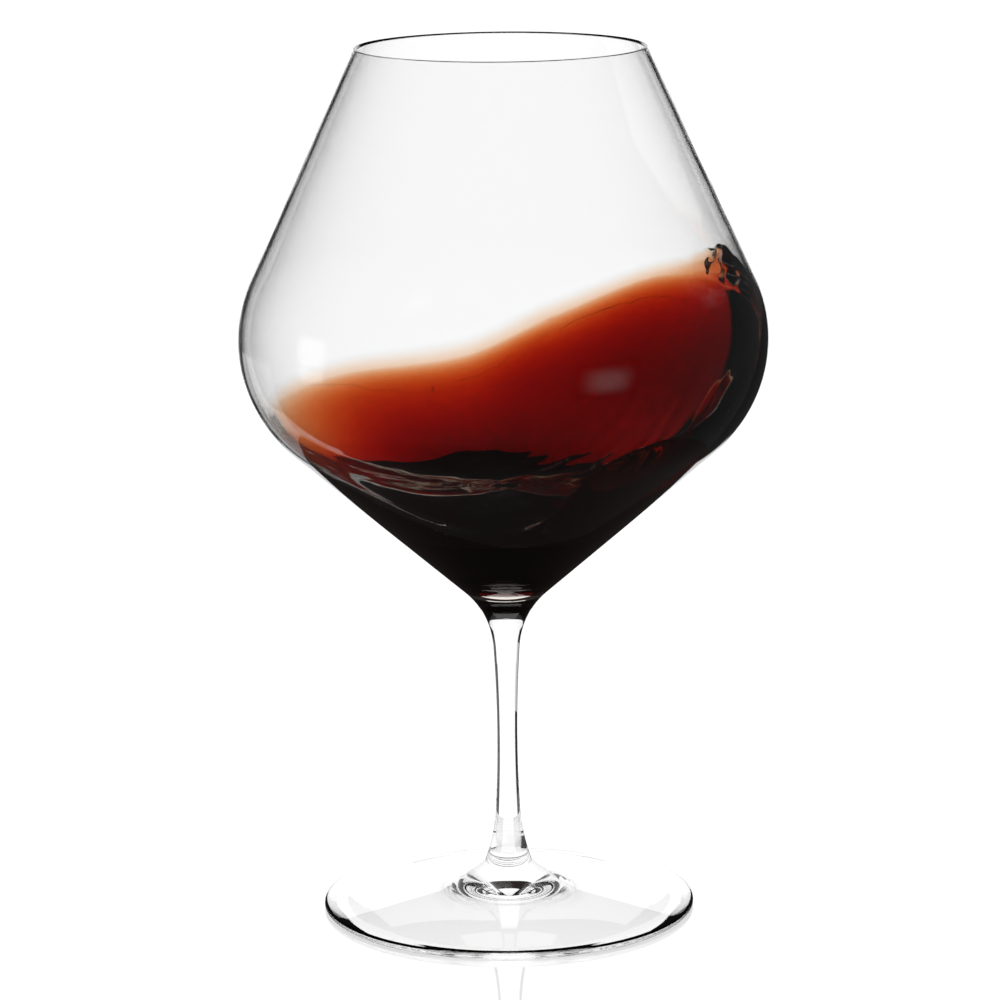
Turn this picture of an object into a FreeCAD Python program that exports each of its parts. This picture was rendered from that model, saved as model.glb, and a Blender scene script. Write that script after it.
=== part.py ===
import FreeCAD, Part
import math
import os
from FreeCAD import Vector

# Wide-bowled red wine glass with wine swirling in it. Millimetres, +Z up.
# Origin: centre of the foot, on the surface that the glass stands on.
# Four solids: the bowl, the stem and the foot (three gathers of glass, fused where they
# meet) and the wine. Each outline is a half section, with r along X, turned about Z.

# Bowl
HEIGHT = 210.0            # top of the lip
BELLY_RADIUS = 63.2       # widest point, outside
BELLY_HEIGHT = 140.5
BELLY_ARC = 34.0          # radius of the round shoulder
TAPER_ANGLE = 24.8        # upper wall, degrees from upright, leaning in
CONE_ANGLE = 48.9         # lower wall, degrees from upright, leaning out
WALL = 1.1                # thickness of the blown wall
LIP_BEAD = 0.56           # radius of the fire-polished lip, a little fatter than the wall
BOWL_FLOOR = 79.8         # lowest point inside
BOWL_JOINT = 73.7         # where the bowl is fused to the stem

# Stem
THROAT_ARC = 20.2         # concave round from the bowl's cone into the stem
WAIST_RADIUS = 2.45       # thinnest point
WAIST_HEIGHT = 43.0
WAIST_ARC = 320.0         # long curve of the drawn stem
FLARE_START = 24.0        # height where the stem starts to spread
FLARE_ARC = 48.0
FOOT_JOINT = 10.7         # where the stem is fused to the foot

# Foot
FOOT_RADIUS = 45.2
EDGE_ROUND = 0.9          # half the thickness of the rounded edge
FOOT_SLOPE = 8.0          # fall of the top surface, degrees
HILL_ARC = 25.0           # concave round from the top surface up to the stem
RING_INNER = 40.5         # inside of the flat ring that the glass stands on
UNDERSIDE_RISE = 4.2      # height of the hollow under the foot, at its centre

# Wine: its surface is a hollow at the axis and runs up the wall as a wave.
WINE_GAP = 0.3            # running clearance between the wine and the wall
WINE_CENTRE = 103.0       # height of the surface at the axis
SURFACE_POWER = 2.6       # how the surface curves up from the axis to the wall
WINE_EDGE = (             # (azimuth in degrees, height) of the wine's edge on the wall
    (5, 159.0),           # crest
    (48, 150.0),
    (78, 136.0),
    (100, 127.0),
    (135, 124.0),         # long tail behind the crest
    (170, 122.0),
    (205, 117.0),
    (235, 105.0),
    (265, 98.0),          # lowest point
    (300, 99.0),
    (325, 105.0),
    (338, 134.0),         # steep front of the wave
    (350, 157.0),
)
GRID_STEP = 3.0           # spacing of the points that the surface goes through
GRID_HALF = 22            # grid points each side of the axis
WINE_TOP = 170.0          # the uncut wine is taller than its crest


def at(r, z):
    return Vector(r, 0, z)


def unit(angle):
    """Unit vector at an angle above the horizontal, in degrees."""
    return at(math.cos(math.radians(angle)), math.sin(math.radians(angle)))


def arc(start, end, centre):
    """Arc under half a turn about centre."""
    radius = (start - centre).Length
    middle = centre + ((start + end) * 0.5 - centre).normalize() * radius
    return Part.Arc(start, middle, end).toShape()


def outline(*pieces):
    """Wire through a list of points and ready-made arcs, closed at the end."""
    edges = []
    ends = []
    for piece in pieces:
        is_point = isinstance(piece, Vector)
        start = piece if is_point else piece.Vertexes[0].Point
        if ends and (ends[-1] - start).Length > 1e-7:
            edges.append(Part.LineSegment(ends[-1], start).toShape())
        if not is_point:
            edges.append(piece)
            start = piece.Vertexes[-1].Point
        ends.append(start)
    first = edges[0].Vertexes[0].Point
    if (ends[-1] - first).Length > 1e-7:
        edges.append(Part.LineSegment(ends[-1], first).toShape())
    return Part.Wire(edges)


def turned(wire):
    return Part.Face(wire).revolve(Vector(0, 0, 0), Vector(0, 0, 1), 360)


def round_centre(on_line, along, outward, radius, point, distance, side):
    """Centre of a round that touches a line on its outward side and is at distance from point.

    side is 1 for the centre further along the line and -1 for the nearer one.
    """
    base = on_line + outward * radius
    offset = base - point
    half = offset.dot(along)
    step = -half + side * math.sqrt(half ** 2 - offset.dot(offset) + distance ** 2)
    return base + along * step


def on_round(centre, radius, height):
    """Point of a round at a height, on the side towards the axis."""
    return at(centre.x - math.sqrt(radius ** 2 - (height - centre.z) ** 2), height)


BELLY_CENTRE = at(BELLY_RADIUS - BELLY_ARC, BELLY_HEIGHT)
TAPER_OUT = unit(TAPER_ANGLE)               # outward normal of the upper wall
CONE_OUT = unit(-CONE_ANGLE)                # outward normal of the lower wall
CONE_DOWN = unit(-90 - CONE_ANGLE)          # down along the lower wall
WAIST_CENTRE = at(WAIST_RADIUS + WAIST_ARC, WAIST_HEIGHT)
CONE_TOP = BELLY_CENTRE + CONE_OUT * BELLY_ARC
THROAT_CENTRE = round_centre(CONE_TOP, CONE_DOWN, CONE_OUT, THROAT_ARC,
                             WAIST_CENTRE, WAIST_ARC - THROAT_ARC, 1)


def floor_round(depth):
    """Centre and radius of the bowl's round floor, for the surface that lies depth inside the outer face."""
    apex = CONE_TOP.z - CONE_TOP.x / math.tan(math.radians(CONE_ANGLE))
    slope = math.sin(math.radians(CONE_ANGLE))
    rise = BOWL_FLOOR - apex - WALL / slope
    radius = rise * slope / (1 - slope)
    return at(0, BOWL_FLOOR + radius), radius + WALL - depth


def inner_arcs(depth):
    """Floor and belly of the same surface. The straight cone joins them."""
    centre, radius = floor_round(depth)
    belly = BELLY_ARC - depth
    floor_arc = arc(centre - at(0, radius), centre + CONE_OUT * radius, centre)
    belly_arc = arc(BELLY_CENTRE + CONE_OUT * belly, BELLY_CENTRE + TAPER_OUT * belly, BELLY_CENTRE)
    return floor_arc, belly_arc


def wall_radius(depth, height):
    """Radius of the same surface at a height."""
    centre, radius = floor_round(depth)
    belly = BELLY_ARC - depth
    taper_start = BELLY_CENTRE + TAPER_OUT * belly
    cone_start = BELLY_CENTRE + CONE_OUT * belly
    cone_end = centre + CONE_OUT * radius
    if height > taper_start.z:
        return taper_start.x - (height - taper_start.z) * math.tan(math.radians(TAPER_ANGLE))
    if height > cone_start.z:
        return BELLY_CENTRE.x + math.sqrt(belly ** 2 - (height - BELLY_CENTRE.z) ** 2)
    if height > cone_end.z:
        return cone_end.x + (height - cone_end.z) * math.tan(math.radians(CONE_ANGLE))
    return math.sqrt(radius ** 2 - (height - centre.z) ** 2)


def make_bowl():
    """Blown bowl: thin wall, beaded lip and a solid base that meets the stem."""
    up = unit(90 + TAPER_ANGLE)
    middle = BELLY_CENTRE + TAPER_OUT * (BELLY_ARC - WALL / 2)
    lip = middle + up * ((HEIGHT - LIP_BEAD - middle.z) / up.z)
    bead_foot = lip - up * math.sqrt(LIP_BEAD ** 2 - (WALL / 2) ** 2)
    bead = Part.Arc(bead_foot - TAPER_OUT * (WALL / 2), lip + up * LIP_BEAD, bead_foot + TAPER_OUT * (WALL / 2))
    floor, inner_belly = inner_arcs(WALL)
    outer_belly = arc(BELLY_CENTRE + TAPER_OUT * BELLY_ARC, CONE_TOP, BELLY_CENTRE)
    joint = on_round(THROAT_CENTRE, THROAT_ARC, BOWL_JOINT)
    throat = arc(THROAT_CENTRE - CONE_OUT * THROAT_ARC, joint, THROAT_CENTRE)
    return turned(outline(floor, inner_belly, bead.toShape(), outer_belly, throat, at(0, BOWL_JOINT)))


def make_stem():
    """Drawn stem: throat, long waist and flare."""
    top = on_round(THROAT_CENTRE, THROAT_ARC, BOWL_JOINT)
    waist_out = (THROAT_CENTRE - WAIST_CENTRE).normalize()
    throat_end = WAIST_CENTRE + waist_out * WAIST_ARC
    flare_start = on_round(WAIST_CENTRE, WAIST_ARC, FLARE_START)
    flare_centre = flare_start + (WAIST_CENTRE - flare_start).normalize() * FLARE_ARC
    foot_joint = on_round(flare_centre, FLARE_ARC, FOOT_JOINT)
    throat = arc(top, throat_end, THROAT_CENTRE)
    waist = arc(throat_end, flare_start, WAIST_CENTRE)
    flare = arc(flare_start, foot_joint, flare_centre)
    return turned(outline(at(0, BOWL_JOINT), throat, waist, flare, at(0, FOOT_JOINT))), foot_joint


def make_foot(joint):
    """Round foot: sloping top, rounded edge, flat resting ring and a shallow hollow beneath."""
    edge_centre = at(FOOT_RADIUS - EDGE_ROUND, EDGE_ROUND)
    slope_out = unit(90 - FOOT_SLOPE)
    slope_in = unit(180 - FOOT_SLOPE)
    slope_end = edge_centre + slope_out * EDGE_ROUND
    hill_centre = round_centre(slope_end, slope_in, slope_out, HILL_ARC, joint, HILL_ARC, -1)
    hill = arc(joint, hill_centre - slope_out * HILL_ARC, hill_centre)
    edge_bottom = edge_centre - at(0, EDGE_ROUND)
    edge = Part.Arc(slope_end, edge_centre + at(EDGE_ROUND, 0), edge_bottom).toShape()
    hollow_radius = (RING_INNER ** 2 + UNDERSIDE_RISE ** 2) / (2 * UNDERSIDE_RISE)
    hollow = arc(at(RING_INNER, 0), at(0, UNDERSIDE_RISE), at(0, UNDERSIDE_RISE - hollow_radius))
    return turned(outline(at(0, FOOT_JOINT), hill, edge, hollow))


def edge_height(azimuth):
    """Height of the wine's edge on the wall: a smooth closed curve through WINE_EDGE."""
    count = len(WINE_EDGE)
    turns = [a for a, _ in WINE_EDGE] + [WINE_EDGE[0][0] + 360]
    angle = (azimuth - turns[0]) % 360 + turns[0]
    i = max(k for k in range(count) if turns[k] <= angle)
    before, low, high, after = [WINE_EDGE[(i + k) % count] for k in (-1, 0, 1, 2)]
    span = turns[i + 1] - turns[i]
    t = (angle - turns[i]) / span
    low_slope = (high[1] - before[1]) / ((high[0] - before[0]) % 360) * span
    high_slope = (after[1] - low[1]) / ((after[0] - low[0]) % 360) * span
    return ((2 * t ** 3 - 3 * t ** 2 + 1) * low[1] + (t ** 3 - 2 * t ** 2 + t) * low_slope
            + (3 * t ** 2 - 2 * t ** 3) * high[1] + (t ** 3 - t ** 2) * high_slope)


def surface_height(x, y):
    """Height of the wine's free surface."""
    edge = edge_height(math.degrees(math.atan2(y, x)))
    share = math.hypot(x, y) / wall_radius(WALL + WINE_GAP, edge)
    return WINE_CENTRE + (edge - WINE_CENTRE) * share ** SURFACE_POWER


def make_wine():
    """Wine: the inside of the bowl up to the free surface."""
    depth = WALL + WINE_GAP
    top = at(wall_radius(depth, WINE_TOP), WINE_TOP)
    body = turned(outline(*inner_arcs(depth), top, at(0, WINE_TOP)))
    steps = [GRID_STEP * k for k in range(-GRID_HALF, GRID_HALF + 1)]
    surface = Part.BSplineSurface()
    surface.interpolate([[Vector(x, y, surface_height(x, y)) for y in steps] for x in steps])
    air = surface.toShape().extrude(Vector(0, 0, HEIGHT))
    return body.cut(air)


def largest_solid(shape):
    return max(shape.Solids, key=lambda solid: solid.Volume)


os.makedirs("parts", exist_ok=True)
stem, foot_joint = make_stem()
nodes = {"bowl": make_bowl(), "stem": stem, "foot": make_foot(foot_joint), "wine": make_wine()}
for name, shape in nodes.items():
    solid = largest_solid(shape)
    solid.exportStep("parts/" + name + ".step")
    print(name, "solids", len(shape.Solids), "valid", solid.isValid(), "ml %.1f" % (solid.Volume / 1000), solid.BoundBox)
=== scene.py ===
import math

import bpy
import numpy as np
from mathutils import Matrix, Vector


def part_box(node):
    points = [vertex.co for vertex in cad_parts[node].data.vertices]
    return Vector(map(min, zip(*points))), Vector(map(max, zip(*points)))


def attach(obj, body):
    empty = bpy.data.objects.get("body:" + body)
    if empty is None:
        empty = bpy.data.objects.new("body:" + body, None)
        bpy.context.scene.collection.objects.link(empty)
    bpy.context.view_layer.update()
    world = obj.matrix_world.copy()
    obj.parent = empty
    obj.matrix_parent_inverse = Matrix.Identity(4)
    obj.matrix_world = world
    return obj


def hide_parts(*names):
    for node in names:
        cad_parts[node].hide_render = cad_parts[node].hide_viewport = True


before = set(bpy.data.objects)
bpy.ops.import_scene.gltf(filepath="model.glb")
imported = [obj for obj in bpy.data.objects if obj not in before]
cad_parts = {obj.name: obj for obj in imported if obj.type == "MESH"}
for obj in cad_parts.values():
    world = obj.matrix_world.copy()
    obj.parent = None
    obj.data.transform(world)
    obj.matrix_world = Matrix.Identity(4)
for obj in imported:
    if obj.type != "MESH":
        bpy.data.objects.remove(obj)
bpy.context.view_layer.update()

MM = 0.001

# ---------------------------------------------------------------- sizes, in millimetres
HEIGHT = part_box("bowl")[1].z / MM
BELLY_RADIUS = 63.2
BELLY_HEIGHT = 140.5
BELLY_ARC = 34.0
TAPER_ANGLE = 24.8
CONE_ANGLE = 48.9
WALL = 1.1
LIP_BEAD = 0.56
WINE_GAP = 0.3            # between the CAD wine and the bowl's floor
BOWL_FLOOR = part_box("wine")[0].z / MM - WINE_GAP
BOWL_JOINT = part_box("bowl")[0].z / MM
THROAT_ARC = 20.2
WAIST_RADIUS = 2.45
WAIST_HEIGHT = 43.0
WAIST_ARC = 320.0
FLARE_START = 24.0
FLARE_ARC = 48.0
FOOT_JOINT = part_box("foot")[1].z / MM
FOOT_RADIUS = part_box("foot")[1].x / MM
EDGE_ROUND = 0.9
FOOT_SLOPE = 8.0
HILL_ARC = 25.0
RING_INNER = 40.5
UNDERSIDE_RISE = 4.2

# The wine's edge on the wall: azimuth in degrees, height, and how late the surface climbs to it.
WINE_EDGE = (
    (5, 149.0, 3.4),
    (48, 148.0, 2.3),
    (78, 135.5, 1.7),
    (100, 126.0, 1.5),
    (135, 124.5, 1.8),
    (170, 122.5, 2.8),
    (205, 117.0, 2.2),
    (235, 103.0, 1.5),
    (265, 97.0, 1.5),
    (290, 97.0, 1.5),
    (312, 101.0, 1.8),
    (330, 120.0, 3.0),
    (345, 142.0, 3.6),
)
WINE_CENTRE = 104.3
WET_HEIGHT = 96.0         # below this the wine always covers the wall
WETTING = 0.05            # the wine reaches this far into the wall's face, so that no air lies between
FILM_HEIGHT = 4.5         # wine clinging to the wall above its edge
FILM_DEPTH = 0.7
CREST_AZIMUTH = 14        # the thin sheet thrown up the wall
CREST_SPREAD = 22
CREST_HEIGHT = 9.0
CREST_DEPTH = 3.6
SURFACE_RINGS = 120       # rows of points on the wine's surface, on its film and on the wall
FILM_RINGS = 16
WALL_RINGS = 68

# Swells of the rolling wave: azimuth, spread in degrees, share of the radius, spread, height.
SWELLS = (
    (318, 24, 0.86, 0.09, 11.0),
    (225, 22, 0.80, 0.10, -1.5),
)

# Ripples: direction in degrees, wavelength, height, phase. They are highest at RIPPLE_PLACE.
RIPPLES = (
    (118, 7.3, 0.16, 0.4),
    (131, 5.1, 0.10, 2.1),
    (104, 4.3, 0.07, 4.0),
    (150, 11.0, 0.12, 1.3),
)
RIPPLE_PLACE = (24, 4)
RIPPLE_SPREAD = (20, 22)
RIPPLE_CALM = 0.08        # share of their height far from there

GLASS_IOR = 1.5
WINE_IOR = 1.34
WINE_TINT = (0.88, 0.5, 0.15)
WINE_DENSITY = 1450.0     # absorption, per metre
GLASS_WAVES = (70.0, 0.00002)  # slow unevenness: noise scale, depth in metres
WINE_WAVES = (160.0, 0.00003)

TURNS = 256               # faces round the glass
WINE_TURNS = 480

# ---------------------------------------------------------------- studio sizes, in metres
TABLE_RADIUS = 1.3
MIRROR_HEIGHT = -0.025    # reflecting sheet under the table, seen through the glass
MIRROR_RADIUS = 0.42
# Its two tongues, which point at the backdrop and at the side panel: azimuth, spread, inner, outer radius.
MIRROR_TONGUES = ((90, 17, MIRROR_RADIUS, 1.2), (180, 9, MIRROR_RADIUS, 1.2))
PINHOLE = 0.0005          # a ring with so small a hole is a disc
SHADE_HEIGHT = 0.0735     # dark sheet under the bowl, with a hole for the stem
SHADE_HOLE = 0.0065
SHADE_RADIUS = 0.09
CEILING = 0.0733          # height of the light just under the shade
PIT_HEIGHT = -0.02        # the light round the foot starts below the table
FOOT_FLOOR_HEIGHT = -0.002
FOOT_FLOOR_RADIUS = 0.048
PIT_INNER = 0.05
STEM_LIGHT_RADIUS = 0.03
STEM_LIGHT_LOW = 0.055
FOOT_LIGHT_RADIUS = 0.088
# Light below the shade: azimuth in degrees, spread, and how far its floor reaches.
LOW_LIGHTS = ((90, 38, 0.16), (192, 24, 0.088), (-45, 38, 0.088))

CAMERA_PLACE = (-0.0012, -0.9526, 0.3085)
CAMERA_PITCH = 12.29
CAMERA_ROLL = -0.6
CAMERA_LENS = 146.0
CAMERA_FILM = 36


# ---------------------------------------------------------------- section geometry
def unit(angle):
    return np.array([math.cos(math.radians(angle)), math.sin(math.radians(angle))])


def point(r, z):
    return np.array([float(r), float(z)])


def angle_of(vector):
    return math.degrees(math.atan2(vector[1], vector[0]))


def arc(start, end, centre, steps):
    """Points along the shorter arc about centre, ends included."""
    first = angle_of(start - centre)
    turn = (angle_of(end - centre) - first + 180) % 360 - 180
    radius = np.linalg.norm(start - centre)
    return [centre + radius * unit(first + turn * k / steps) for k in range(steps + 1)]


def line(start, end, steps):
    return [start + (end - start) * k / steps for k in range(steps + 1)]


def joined(*runs):
    """One outline from runs of points, without the points that two runs share."""
    points = []
    for run in runs:
        for p in run:
            if not points or np.linalg.norm(p - points[-1]) > 1e-6:
                points.append(p)
    return points


def round_centre(on_line, along, outward, radius, other, distance, side):
    """Centre of a round that touches a line on its outward side and is at distance from other."""
    base = on_line + outward * radius
    offset = base - other
    half = offset @ along
    return base + along * (-half + side * math.sqrt(half ** 2 - offset @ offset + distance ** 2))


def on_round(centre, radius, height):
    return point(centre[0] - math.sqrt(radius ** 2 - (height - centre[1]) ** 2), height)


BELLY_CENTRE = point(BELLY_RADIUS - BELLY_ARC, BELLY_HEIGHT)
TAPER_OUT = unit(TAPER_ANGLE)
CONE_OUT = unit(-CONE_ANGLE)
CONE_DOWN = unit(-90 - CONE_ANGLE)
CONE_TOP = BELLY_CENTRE + CONE_OUT * BELLY_ARC
WAIST_CENTRE = point(WAIST_RADIUS + WAIST_ARC, WAIST_HEIGHT)
THROAT_CENTRE = round_centre(CONE_TOP, CONE_DOWN, CONE_OUT, THROAT_ARC,
                             WAIST_CENTRE, WAIST_ARC - THROAT_ARC, 1)
THROAT_JOINT = on_round(THROAT_CENTRE, THROAT_ARC, BOWL_JOINT)
FLARE_TOP = on_round(WAIST_CENTRE, WAIST_ARC, FLARE_START)
FLARE_CENTRE = FLARE_TOP + (WAIST_CENTRE - FLARE_TOP) / WAIST_ARC * FLARE_ARC
FOOT_JOINT_EDGE = on_round(FLARE_CENTRE, FLARE_ARC, FOOT_JOINT)


def floor_round(depth):
    """Centre and radius of the bowl's round floor, for the surface that lies depth inside the outer face."""
    apex = CONE_TOP[1] - CONE_TOP[0] / math.tan(math.radians(CONE_ANGLE))
    slope = math.sin(math.radians(CONE_ANGLE))
    rise = BOWL_FLOOR - apex - WALL / slope
    radius = rise * slope / (1 - slope)
    return point(0, BOWL_FLOOR + radius), radius + WALL - depth


def wall_section(depth, top, fine=1):
    """Section of the surface that lies depth inside the bowl's outer face, from the axis up to top."""
    centre, radius = floor_round(depth)
    belly = BELLY_ARC - depth
    taper_start = BELLY_CENTRE + TAPER_OUT * belly
    cone_start = BELLY_CENTRE + CONE_OUT * belly
    cone_end = centre + CONE_OUT * radius
    lean = math.tan(math.radians(TAPER_ANGLE))
    taper_end = point(taper_start[0] - (top - taper_start[1]) * lean, top)
    return joined(arc(centre - point(0, radius), cone_end, centre, 16 * fine),
                  line(cone_end, cone_start, 24 * fine),
                  arc(cone_start, taper_start, BELLY_CENTRE, 48 * fine),
                  line(taper_start, taper_end, 32 * fine))


def bowl_section():
    up = unit(90 + TAPER_ANGLE)
    middle = BELLY_CENTRE + TAPER_OUT * (BELLY_ARC - WALL / 2)
    lip = middle + up * ((HEIGHT - LIP_BEAD - middle[1]) / up[1])
    bead_foot = lip - up * math.sqrt(LIP_BEAD ** 2 - (WALL / 2) ** 2)
    inside = bead_foot - TAPER_OUT * (WALL / 2)
    outside = bead_foot + TAPER_OUT * (WALL / 2)
    inner = wall_section(WALL, inside[1])
    bead = joined(arc(inside, lip + up * LIP_BEAD, lip, 8), arc(lip + up * LIP_BEAD, outside, lip, 8))
    belly = arc(BELLY_CENTRE + TAPER_OUT * BELLY_ARC, CONE_TOP, BELLY_CENTRE, 48)
    throat = arc(THROAT_CENTRE - CONE_OUT * THROAT_ARC, THROAT_JOINT, THROAT_CENTRE, 12)
    return joined(inner, bead, line(outside, belly[0], 32), belly, line(CONE_TOP, throat[0], 24),
                  throat, [point(0, BOWL_JOINT)])


def stem_section():
    waist_out = (THROAT_CENTRE - WAIST_CENTRE) / np.linalg.norm(THROAT_CENTRE - WAIST_CENTRE)
    throat_end = WAIST_CENTRE + waist_out * WAIST_ARC
    return joined([point(0, BOWL_JOINT)], arc(THROAT_JOINT, throat_end, THROAT_CENTRE, 24),
                  arc(throat_end, FLARE_TOP, WAIST_CENTRE, 40),
                  arc(FLARE_TOP, FOOT_JOINT_EDGE, FLARE_CENTRE, 24), [point(0, FOOT_JOINT)])


def foot_section():
    edge_centre = point(FOOT_RADIUS - EDGE_ROUND, EDGE_ROUND)
    slope_out = unit(90 - FOOT_SLOPE)
    slope_end = edge_centre + slope_out * EDGE_ROUND
    hill_centre = round_centre(slope_end, unit(180 - FOOT_SLOPE), slope_out, HILL_ARC,
                               FOOT_JOINT_EDGE, HILL_ARC, -1)
    hill = arc(FOOT_JOINT_EDGE, hill_centre - slope_out * HILL_ARC, hill_centre, 24)
    outer = edge_centre + point(EDGE_ROUND, 0)
    bottom = edge_centre - point(0, EDGE_ROUND)
    hollow_radius = (RING_INNER ** 2 + UNDERSIDE_RISE ** 2) / (2 * UNDERSIDE_RISE)
    hollow_centre = point(0, UNDERSIDE_RISE - hollow_radius)
    return joined([point(0, FOOT_JOINT)], hill, line(hill[-1], slope_end, 24),
                  arc(slope_end, outer, edge_centre, 10), arc(outer, bottom, edge_centre, 10),
                  line(bottom, point(RING_INNER, 0), 3),
                  arc(point(RING_INNER, 0), point(0, UNDERSIDE_RISE), hollow_centre, 32))


# ---------------------------------------------------------------- meshes
def new_piece(name, points, faces, materials, body):
    """Mesh object from points in millimetres, riding on a CAD body."""
    mesh = bpy.data.meshes.new(name)
    mesh.from_pydata([tuple(float(c) * MM for c in p) for p in points], [], faces)
    mesh.polygons.foreach_set("use_smooth", [True] * len(mesh.polygons))
    mesh.update()
    piece = bpy.data.objects.new(name, mesh)
    bpy.context.scene.collection.objects.link(piece)
    for material in materials:
        mesh.materials.append(material)
    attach(piece, body)
    return piece


def columns_closed(columns, top, bottom):
    """Points and faces of a closed form from its columns and its two end points on the axis."""
    turns = len(columns)
    depth = len(columns[0])
    points = [top]
    for i in range(depth):
        points.extend(column[i] for column in columns)
    points.append(bottom)
    last = len(points) - 1
    faces = []
    for k in range(turns):
        n = (k + 1) % turns
        faces.append((0, 1 + k, 1 + n))
        for i in range(depth - 1):
            a = 1 + i * turns
            b = a + turns
            faces.append((a + k, b + k, b + n, a + n))
        a = 1 + (depth - 1) * turns
        faces.append((a + n, a + k, last))
    return points, faces


def turned(section, turns):
    """Points and faces of a section turned about Z. The section starts and ends on the axis."""
    columns = []
    for k in range(turns):
        angle = 2 * math.pi * k / turns
        columns.append([(r * math.cos(angle), r * math.sin(angle), z) for r, z in section[1:-1]])
    return columns_closed(columns, (0.0, 0.0, section[0][1]), (0.0, 0.0, section[-1][1]))


def mark_joints(piece, heights):
    """Flat discs where two gathers of glass are fused: sharp edged, and clear to light."""
    mesh = piece.data
    for polygon in mesh.polygons:
        z = [mesh.vertices[v].co.z / MM for v in polygon.vertices]
        if any(max(abs(h - c) for c in z) < 1e-3 for h in heights):
            polygon.material_index = 1
            polygon.use_smooth = False
    edges = {}
    for polygon in mesh.polygons:
        for key in polygon.edge_keys:
            edges.setdefault(key, set()).add(polygon.material_index)
    for edge in mesh.edges:
        if len(edges[edge.key]) > 1:
            edge.use_edge_sharp = True


def mark_wetted(bowl):
    """Inside of the bowl's cone, which wine covers whichever way the wave stands."""
    for polygon in bowl.data.polygons:
        centre = polygon.center / MM
        facing = polygon.normal.x * centre.x + polygon.normal.y * centre.y
        if centre.z < WET_HEIGHT and facing <= 0 and polygon.material_index == 0 and polygon.normal.z > 0:
            polygon.material_index = 2


# ---------------------------------------------------------------- materials
def new_material(name):
    material = bpy.data.materials.new(name)
    material.use_nodes = True
    return material, material.node_tree.nodes, material.node_tree.links


def waviness(material, scale, depth):
    """Slow unevenness of a surface that was never ground or moulded."""
    nodes, links = material.node_tree.nodes, material.node_tree.links
    place = nodes.new("ShaderNodeTexCoord")
    noise = nodes.new("ShaderNodeTexNoise")
    noise.inputs["Scale"].default_value = scale
    noise.inputs["Detail"].default_value = 1.0
    bump = nodes.new("ShaderNodeBump")
    bump.inputs["Strength"].default_value = 1.0
    bump.inputs["Distance"].default_value = depth
    links.new(place.outputs["Object"], noise.inputs["Vector"])
    links.new(noise.outputs["Fac"], bump.inputs["Height"])
    links.new(bump.outputs["Normal"], nodes["Principled BSDF"].inputs["Normal"])


def glass_material(name, mirror):
    """Clear glass. Mirror is how much its face reflects when it is seen straight on."""
    material, nodes, links = new_material(name)
    shader = nodes["Principled BSDF"]
    shader.inputs["Base Color"].default_value = (1, 1, 1, 1)
    shader.inputs["Roughness"].default_value = 0.0
    shader.inputs["IOR"].default_value = GLASS_IOR
    shader.inputs["Specular Tint"].default_value = (mirror, mirror, mirror, 1)
    shader.inputs["Transmission Weight"].default_value = 1.0
    waviness(material, *GLASS_WAVES)
    return material


def fused_material():
    """A fused joint inside clear glass: light goes straight through."""
    material, nodes, links = new_material("fused_joint")
    clear = nodes.new("ShaderNodeBsdfTransparent")
    nodes.remove(nodes["Principled BSDF"])
    links.new(clear.outputs["BSDF"], nodes["Material Output"].inputs["Surface"])
    return material


def wine_material():
    material, nodes, links = new_material("red_wine")
    shader = nodes["Principled BSDF"]
    shader.inputs["Base Color"].default_value = (1, 1, 1, 1)
    shader.inputs["Roughness"].default_value = 0.0
    shader.inputs["IOR"].default_value = WINE_IOR
    shader.inputs["Transmission Weight"].default_value = 1.0
    waviness(material, *WINE_WAVES)
    volume = nodes.new("ShaderNodeVolumeAbsorption")
    volume.inputs["Color"].default_value = (*WINE_TINT, 1)
    volume.inputs["Density"].default_value = WINE_DENSITY
    links.new(volume.outputs["Volume"], nodes["Material Output"].inputs["Volume"])
    return material


# ---------------------------------------------------------------- wine
def wine_edge(azimuth):
    """Height and climb of the wine's edge: smooth closed curves through WINE_EDGE."""
    count = len(WINE_EDGE)
    turns = [station[0] for station in WINE_EDGE] + [WINE_EDGE[0][0] + 360]
    angle = (azimuth - turns[0]) % 360 + turns[0]
    i = max(k for k in range(count) if turns[k] <= angle)
    before, low, high, after = [np.array(WINE_EDGE[(i + k) % count], float) for k in (-1, 0, 1, 2)]
    span = turns[i + 1] - turns[i]
    t = (angle - turns[i]) / span
    low_slope = (high - before) / ((high[0] - before[0]) % 360) * span
    high_slope = (after - low) / ((after[0] - low[0]) % 360) * span
    value = ((2 * t ** 3 - 3 * t ** 2 + 1) * low + (t ** 3 - 2 * t ** 2 + t) * low_slope
             + (3 * t ** 2 - 2 * t ** 3) * high + (t ** 3 - t ** 2) * high_slope)
    return value[1], value[2]


def bell(offset, spread):
    return np.exp(-(offset / spread) ** 2)


def turn_from(azimuth, start):
    """Turn from start to azimuth, between -180 and 180 degrees."""
    return (azimuth - start + 180) % 360 - 180


def swell(azimuth, share):
    """Rolling swells, which die out at the wall."""
    height = 0.0
    for at, spread, ring, width, rise in SWELLS:
        height = height + rise * bell(turn_from(azimuth, at), spread) * bell(share - ring, width)
    return height * (1 - share ** 12)


def ripple(x, y, share):
    """Fine ripples, which die out at the axis and at the wall."""
    height = 0.0
    for direction, length, rise, phase in RIPPLES:
        along = unit(direction)
        across = (x * along[0] + y * along[1]) / length
        bend = 0.9 * math.sin(2 * math.pi * (x * along[1] - y * along[0]) / (3.7 * length) + phase)
        height += rise * math.sin(2 * math.pi * across + bend + phase)
    near = bell(x - RIPPLE_PLACE[0], RIPPLE_SPREAD[0]) * bell(y - RIPPLE_PLACE[1], RIPPLE_SPREAD[1])
    return height * (RIPPLE_CALM + near) * (1 - share ** 8) * min(1, share * 4)


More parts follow.
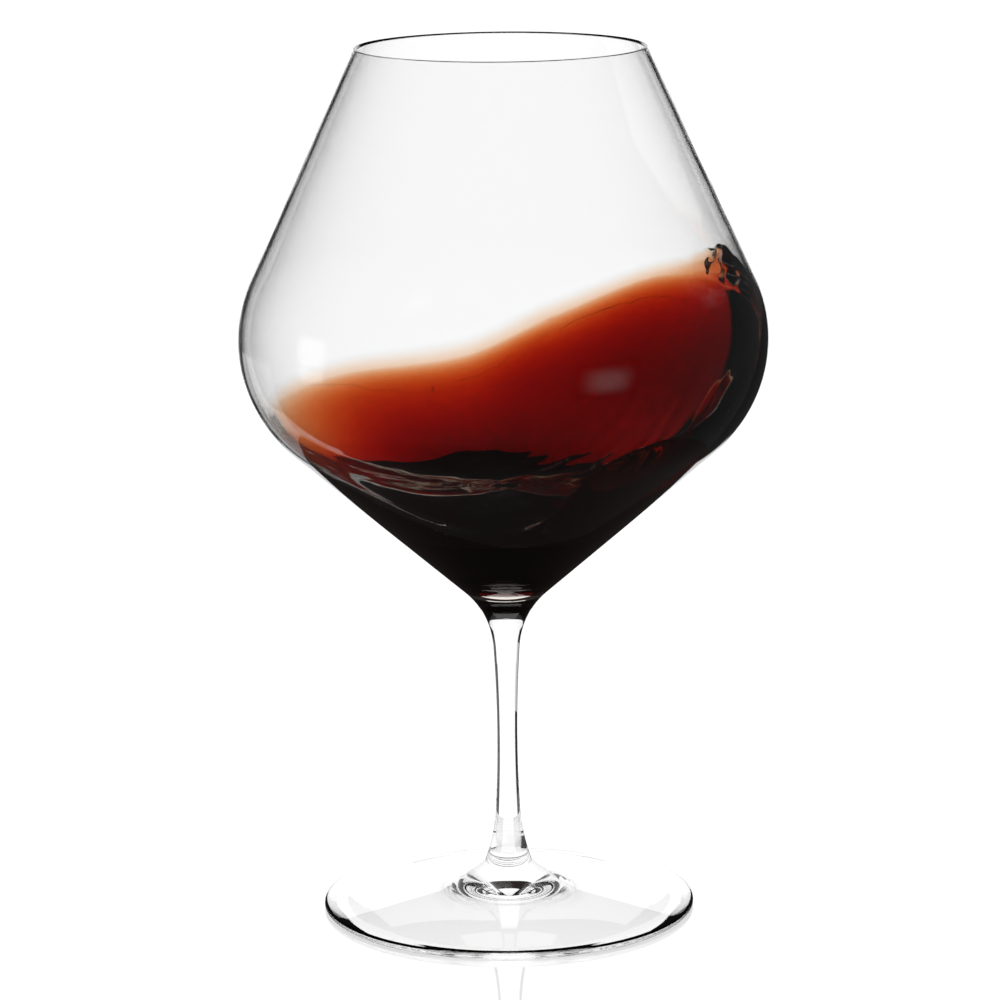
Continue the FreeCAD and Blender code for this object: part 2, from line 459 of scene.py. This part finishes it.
def film(azimuth):
    """Height and depth of the wine that clings to the wall above the body of the wave."""
    cling = 0.06 + 0.94 * (0.5 + 0.5 * math.sin(math.radians(azimuth - 10))) ** 1.5
    turn = turn_from(azimuth, CREST_AZIMUTH)
    near = bell(turn, CREST_SPREAD)
    ragged = 1 + 0.06 * math.sin(0.4 * turn) + 0.03 * math.sin(0.9 * turn + 1)
    return FILM_HEIGHT * cling + CREST_HEIGHT * near * ragged, FILM_DEPTH * cling + CREST_DEPTH * near


def film_face(azimuth, t):
    """Share of the film's depth that is left at a share t of its height, mottled where it is broad."""
    turn = turn_from(azimuth, CREST_AZIMUTH)
    mottle = math.sin(0.35 * turn + 7 * t) * math.sin(0.21 * turn - 4 * t + 1)
    near = bell(turn, CREST_SPREAD)
    return (1 - t) ** (1.6 - 1.1 * near) * (1 + 0.3 * mottle * near * math.sin(math.pi * t))


def wine_column(azimuth, wall, lengths):
    """Points of the wine at one azimuth: out along its surface, up the film, and down the wall."""
    top, climb = wine_edge(azimuth)
    film_height, film_depth = film(azimuth)
    end = np.interp(top, wall[:, 1], lengths)
    reach = np.interp(top, wall[:, 1], wall[:, 0]) - film_depth

    def on_wall(s):
        return point(np.interp(s, lengths, wall[:, 0]), np.interp(s, lengths, wall[:, 1]))

    column = []
    for i in range(1, SURFACE_RINGS + 1):
        share = (i / SURFACE_RINGS) ** 0.8
        r = share * reach
        across = unit(azimuth) * r
        z = WINE_CENTRE + (top - WINE_CENTRE) * share ** climb
        z += swell(azimuth, share) + ripple(across[0], across[1], share)
        column.append((r, z))
    for i in range(1, FILM_RINGS + 1):
        t = i / FILM_RINGS
        r, z = on_wall(end + film_height * t)
        column.append((r - film_depth * film_face(azimuth, t), z))
    for i in range(1, WALL_RINGS):
        column.append(tuple(on_wall((end + film_height) * (1 - i / WALL_RINGS))))
    return [(*(unit(azimuth) * r), z) for r, z in column]


def make_wine(material):
    wall = np.array(wall_section(WALL - WETTING, HEIGHT - 5, fine=4))
    lengths = np.concatenate([[0], np.cumsum(np.linalg.norm(np.diff(wall, axis=0), axis=1))])
    columns = [wine_column(360 * k / WINE_TURNS, wall, lengths) for k in range(WINE_TURNS)]
    points, faces = columns_closed(columns, (0.0, 0.0, WINE_CENTRE), (0.0, 0.0, wall[0, 1]))
    wine = new_piece("wine_wave", points, faces, [material], "wine")
    first = 1 + (SURFACE_RINGS + FILM_RINGS - 1) * WINE_TURNS
    rim = range(first, first + WINE_TURNS)
    for edge in wine.data.edges:
        if edge.vertices[0] in rim and edge.vertices[1] in rim:
            edge.use_edge_sharp = True
    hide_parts("wine")


# ---------------------------------------------------------------- studio
def emitter(name, colour, strength):
    material, nodes, links = new_material(name)
    glow = nodes.new("ShaderNodeEmission")
    glow.inputs["Color"].default_value = (*colour, 1)
    glow.inputs["Strength"].default_value = strength
    nodes.remove(nodes["Principled BSDF"])
    links.new(glow.outputs["Emission"], nodes["Material Output"].inputs["Surface"])
    return material


def sheet(name, corners, material):
    mesh = bpy.data.meshes.new(name)
    mesh.from_pydata(corners, [], [tuple(range(len(corners)))])
    mesh.materials.append(material)
    panel = bpy.data.objects.new(name, mesh)
    bpy.context.scene.collection.objects.link(panel)
    return panel


def gloss_material(name, glow, gloss, roughness):
    """Sheet that glows evenly and mirrors the studio faintly or strongly."""
    material, nodes, links = new_material(name)
    lamp = nodes.new("ShaderNodeEmission")
    lamp.inputs["Color"].default_value = (1, 1, 1, 1)
    lamp.inputs["Strength"].default_value = glow
    mirror = nodes.new("ShaderNodeBsdfGlossy")
    mirror.inputs["Color"].default_value = (gloss, gloss, gloss, 1)
    mirror.inputs["Roughness"].default_value = roughness
    both = nodes.new("ShaderNodeAddShader")
    nodes.remove(nodes["Principled BSDF"])
    links.new(lamp.outputs["Emission"], both.inputs[0])
    links.new(mirror.outputs["BSDF"], both.inputs[1])
    links.new(both.outputs["Shader"], nodes["Material Output"].inputs["Surface"])
    return material


def seen_by(panel, camera, glass):
    """Choose whether the lens and the glass see a panel."""
    panel.visible_camera = camera
    panel.visible_glossy = glass
    panel.visible_transmission = glass
    panel.visible_diffuse = False
    panel.visible_shadow = False


def soft_glow(name, strength, edge):
    """Light panel that fades towards its edges, as a softbox does."""
    material, nodes, links = new_material(name)
    nodes.remove(nodes["Principled BSDF"])
    place = nodes.new("ShaderNodeTexCoord")
    split = nodes.new("ShaderNodeSeparateXYZ")
    links.new(place.outputs["Generated"], split.inputs["Vector"])
    fades = []
    for axis in ("X", "Z"):
        fold = nodes.new("ShaderNodeMath")
        fold.operation = "PINGPONG"
        fold.inputs[1].default_value = 0.5
        fade = nodes.new("ShaderNodeMapRange")
        fade.interpolation_type = "SMOOTHSTEP"
        fade.inputs["From Max"].default_value = edge
        links.new(split.outputs[axis], fold.inputs[0])
        links.new(fold.outputs["Value"], fade.inputs["Value"])
        fades.append(fade)
    both = nodes.new("ShaderNodeMath")
    both.operation = "MULTIPLY"
    level = nodes.new("ShaderNodeMath")
    level.operation = "MULTIPLY"
    level.inputs[1].default_value = strength
    glow = nodes.new("ShaderNodeEmission")
    links.new(fades[0].outputs["Result"], both.inputs[0])
    links.new(fades[1].outputs["Result"], both.inputs[1])
    links.new(both.outputs["Value"], level.inputs[0])
    links.new(level.outputs["Value"], glow.inputs["Strength"])
    links.new(glow.outputs["Emission"], nodes["Material Output"].inputs["Surface"])
    return material


def wall_panel(name, azimuth, distance, half_width, low, high, material):
    """Upright panel facing the object."""
    corners = [(-half_width, 0, low), (half_width, 0, low), (half_width, 0, high), (-half_width, 0, high)]
    panel = sheet(name, corners, material)
    panel.location = (*(unit(azimuth) * distance), 0)
    panel.rotation_euler = (0, 0, math.radians(azimuth - 90))
    return panel


def table_sector(name, azimuth, spread, inner, outer, height, material):
    """Sector of a ring, lying on the table."""
    angles = np.linspace(azimuth - spread, azimuth + spread, 49)
    corners = [(*(unit(a) * outer), height) for a in angles]
    corners += [(*(unit(a) * inner), height) for a in reversed(angles)]
    return sheet(name, corners, material)


def upright_arc(name, azimuth, spread, radius, low, high, material):
    """Band of light that stands round a part of the object."""
    turn = [unit(a) * radius for a in np.linspace(azimuth - spread, azimuth + spread, 49)]
    count = len(turn)
    mesh = bpy.data.meshes.new(name)
    faces = [(k, k + 1, k + 1 + count, k + count) for k in range(count - 1)]
    mesh.from_pydata([(*p, z) for z in (low, high) for p in turn], [], faces)
    mesh.materials.append(material)
    band = bpy.data.objects.new(name, mesh)
    bpy.context.scene.collection.objects.link(band)
    return band


def disc_corners(radius):
    return [(radius * math.cos(a), radius * math.sin(a), 0) for a in np.linspace(0, 2 * math.pi, 97)[:-1]]


def make_table():
    """Pale table for the lens, and a mirror below it for the glass."""
    pale = gloss_material("pale_table", 0.72, 0.35, 0.06)
    seen_by(sheet("table", disc_corners(TABLE_RADIUS), pale), True, False)
    shine = gloss_material("shiny_table", 0, 1.0, 0.0)
    sectors = ((0, 180, PINHOLE, MIRROR_RADIUS), *MIRROR_TONGUES)
    for azimuth, spread, inner, outer in sectors:
        seen_by(table_sector("table_shine", azimuth, spread, inner, outer, MIRROR_HEIGHT, shine), False, True)


def make_low_lights(white):
    """Dark shade under the bowl, and below it the lights that keep the stem and the foot clear."""
    dark = emitter("shade_dark", (1, 0.8, 0.75), 0.025)
    seen_by(table_sector("shade", 0, 180, SHADE_HOLE, SHADE_RADIUS, SHADE_HEIGHT, dark), False, True)
    bright = emitter("bright_glow", (1, 1, 1), 1.03)
    lights = [table_sector("foot_floor", 0, 180, PINHOLE, FOOT_FLOOR_RADIUS, FOOT_FLOOR_HEIGHT, bright)]
    for azimuth, spread, reach in LOW_LIGHTS:
        lights += [
            table_sector("floor_light", azimuth, spread, PIT_INNER, reach, PIT_HEIGHT, white),
            table_sector("ceiling_light", azimuth, spread, SHADE_HOLE, STEM_LIGHT_RADIUS, CEILING, white),
            upright_arc("stem_light", azimuth, spread, STEM_LIGHT_RADIUS, STEM_LIGHT_LOW, CEILING, white),
            upright_arc("foot_light", azimuth, spread, FOOT_LIGHT_RADIUS, PIT_HEIGHT, CEILING, white),
        ]
    return lights


def make_far_lights():
    """What the glass shows behind it when it is seen from the back left or from the front right."""
    pale = emitter("pale_glow", (1, 1, 1), 0.6)
    return [
        wall_panel("panel_front", -45, 3.0, 0.8, -1.1, 0.3, soft_glow("faded_glow", 0.8, 0.45)),
        table_sector("back_left_light", 135, 18, 0.2, 0.8, -0.001, pale),
    ]


def make_studio():
    world = bpy.data.worlds.new("studio")
    bpy.context.scene.world = world
    world.use_nodes = True
    world.node_tree.nodes["Background"].inputs["Color"].default_value = (0.03, 0.03, 0.03, 1)

    make_table()
    white = emitter("backdrop_glow", (1, 1, 1), 1.1)
    wall_panel("backdrop", 90, 1.0, 0.3, -0.06, 0.45, white)
    for panel in make_low_lights(white) + make_far_lights():
        seen_by(panel, False, True)
        panel.visible_glossy = False
    soft = soft_glow("soft_glow", 0.9, 0.3)
    seen_by(wall_panel("panel_side", 180, 3.0, 0.6, -0.4, 0.8, soft), False, True)

    bpy.ops.mesh.primitive_uv_sphere_add(segments=48, ring_count=24, radius=8)
    dome = bpy.context.object
    dome.name = "surround"
    dome.data.materials.append(emitter("surround_glow", (1, 1, 1), 1.1))
    seen_by(dome, True, False)


def make_camera():
    """Long lens a little above the bowl, leaning half a degree with the photographer's hand."""
    data = bpy.data.cameras.new("camera")
    data.sensor_width = CAMERA_FILM
    data.lens = CAMERA_LENS
    camera = bpy.data.objects.new("camera", data)
    bpy.context.scene.collection.objects.link(camera)
    camera.location = CAMERA_PLACE
    camera.rotation_mode = "XYZ"
    down = math.radians(CAMERA_PITCH)
    camera.rotation_euler = Vector((0, math.cos(down), -math.sin(down))).to_track_quat("-Z", "Y").to_euler()
    camera.rotation_euler.rotate_axis("Z", math.radians(CAMERA_ROLL))
    bpy.context.scene.camera = camera


# ---------------------------------------------------------------- the scene
def make_glass():
    materials = [glass_material("clear_glass", 1), fused_material(), glass_material("wetted_glass", 0)]
    parts = (
        ("clear_bowl", "bowl", bowl_section(), (BOWL_JOINT,)),
        ("clear_stem", "stem", stem_section(), (BOWL_JOINT, FOOT_JOINT)),
        ("clear_foot", "foot", foot_section(), (FOOT_JOINT,)),
    )
    for name, node, section, joints in parts:
        points, faces = turned(section, TURNS)
        piece = new_piece(name, points, faces, materials, "glass")
        mark_joints(piece, joints)
        if node == "bowl":
            mark_wetted(piece)
        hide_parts(node)


make_camera()
make_studio()
make_glass()
make_wine(wine_material())

scene = bpy.context.scene
scene.view_settings.view_transform = "Standard"
scene.cycles.max_bounces = 32
scene.cycles.transmission_bounces = 32
scene.cycles.glossy_bounces = 12
scene.cycles.transparent_max_bounces = 32
